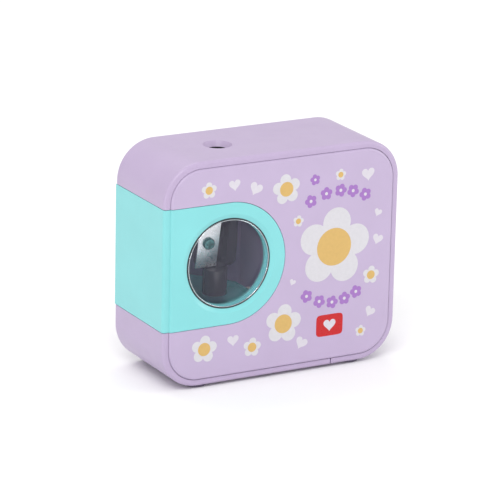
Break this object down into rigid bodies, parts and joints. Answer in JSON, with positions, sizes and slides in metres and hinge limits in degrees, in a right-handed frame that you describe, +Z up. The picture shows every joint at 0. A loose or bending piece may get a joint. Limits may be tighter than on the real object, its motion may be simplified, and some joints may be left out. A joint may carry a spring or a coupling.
{
  "type": "battery electric pencil sharpener",
  "caption": "Small upright electric pencil sharpener with a hole in its top, a pull-out shavings drawer with a round window, and a battery door in its base.",
  "frame": {"origin": "centre of the bounding box's footprint, on the surface the feet stand on", "axes": "+Z up along the pencil hole, -Y towards the printed front, the drawer leaves towards -X"},
  "size_m": [0.1, 0.04, 0.088],
  "materials": {
    "shell_lilac": "fine matte moulded plastic",
    "panel_lilac": "fine matte moulded plastic with a printed pattern",
    "drawer_teal": "fine matte moulded plastic",
    "lens_clear": "clear polished plastic",
    "feet_rubber": "soft matte",
    "gearbox_plastic": "moulded plastic",
    "gear_plastic": "natural acetal",
    "holder_plastic": "dark moulded plastic",
    "blade_steel": "ground",
    "steel": "plain",
    "zinc_steel": "drawn can",
    "magnet": "sintered",
    "copper": "plain",
    "brass": "machined",
    "black_plastic": "moulded",
    "spring_steel": "drawn wire",
    "contact_nickel": "nickel plated strip",
    "cell_jacket": "printed sleeve, plain",
    "wire_red": "insulated",
    "wire_black": "insulated",
    "wire_blue": "insulated"
  },
  "bodies": {
    "housing": {"rear_shell": "shell_lilac", "pencil_guide": "black_plastic", "front_panel": "panel_lilac", "case_screws": "steel", "feet": "feet_rubber", "gearbox_base": "gearbox_plastic", "gearbox_cover": "gearbox_plastic", "gearbox_screws": "steel", "gear_axles": "steel", "start_contact_lower": "contact_nickel", "start_contact_upper": "contact_nickel", "contact_block": "black_plastic", "motor_can": "zinc_steel", "motor_end_cap": "black_plastic", "motor_magnets": "magnet", "motor_brushes": "copper", "motor_terminals": "contact_nickel", "safety_switch_body": "black_plastic", "safety_switch_terminals": "contact_nickel", "battery_cells": "cell_jacket", "battery_contact_bridge": "contact_nickel", "battery_contact_positive": "contact_nickel", "battery_contact_negative": "contact_nickel", "wire_battery_to_switch": "wire_red", "wire_switch_to_start": "wire_red", "wire_start_to_motor": "wire_blue", "wire_motor_to_battery": "wire_black"},
    "drawer": {"drawer": "drawer_teal", "window_lens": "lens_clear"},
    "battery_door": {"battery_door": "shell_lilac"},
    "cutter_carriage": {"thrust_washer": "contact_nickel", "return_spring": "spring_steel"},
    "cutter": {"cutter_gear": "gear_plastic", "blade_holder": "holder_plastic", "blade": "blade_steel", "blade_screw": "steel"},
    "second_gear": {"second_reduction_gear": "gear_plastic"},
    "first_gear": {"first_reduction_gear": "gear_plastic"},
    "motor_rotor": {"motor_shaft": "steel", "motor_pinion": "brass", "motor_armature": "copper", "motor_commutator": "copper"},
    "switch_plunger": {"safety_switch_plunger": "gear_plastic"}
  },
  "joints": [
    {"name": "drawer_slide", "type": "slide", "parent": "housing", "child": "drawer", "axis": [-1, 0, 0], "range_m": [0, 0.048]},
    {"name": "switch_plunger_slide", "type": "slide", "parent": "housing", "child": "switch_plunger", "axis": [-1, 0, 0], "range_m": [0, 0.002]},
    {"name": "battery_door_hinge", "type": "hinge", "parent": "housing", "child": "battery_door", "pos_m": [0, 0.0171, 0.00245], "axis": [1, 0, 0], "range_deg": [0, 95]},
    {"name": "cutter_press", "type": "slide", "parent": "housing", "child": "cutter_carriage", "axis": [0, 0, -1], "range_m": [0, 0.001], "stiffness_N_per_m": 800, "springref_m": -0.001, "deforming": ["return_spring"]},
    {"name": "cutter_spin", "type": "hinge", "parent": "cutter_carriage", "child": "cutter", "pos_m": [-0.018, 0, 0.075], "axis": [0, 0, 1], "continuous": true},
    {"name": "second_gear_spin", "type": "hinge", "parent": "housing", "child": "second_gear", "pos_m": [-0.00202, 0.00519, 0.078], "axis": [0, 0, 1], "continuous": true},
    {"name": "first_gear_spin", "type": "hinge", "parent": "housing", "child": "first_gear", "pos_m": [0.00928, -0.00272, 0.078], "axis": [0, 0, 1], "continuous": true},
    {"name": "motor_spin", "type": "hinge", "parent": "housing", "child": "motor_rotor", "pos_m": [0.02346, -0.00022, 0.075], "axis": [0, 0, 1], "continuous": true}
  ],
  "couplings": [
    {"joint": "first_gear_spin", "follows": "motor_spin", "ratio": -0.33333},
    {"joint": "second_gear_spin", "follows": "motor_spin", "ratio": 0.11765},
    {"joint": "cutter_spin", "follows": "motor_spin", "ratio": -0.032086},
    {"joint": "switch_plunger_slide", "follows": "drawer_slide", "ratio": 0.041667}
  ]
}
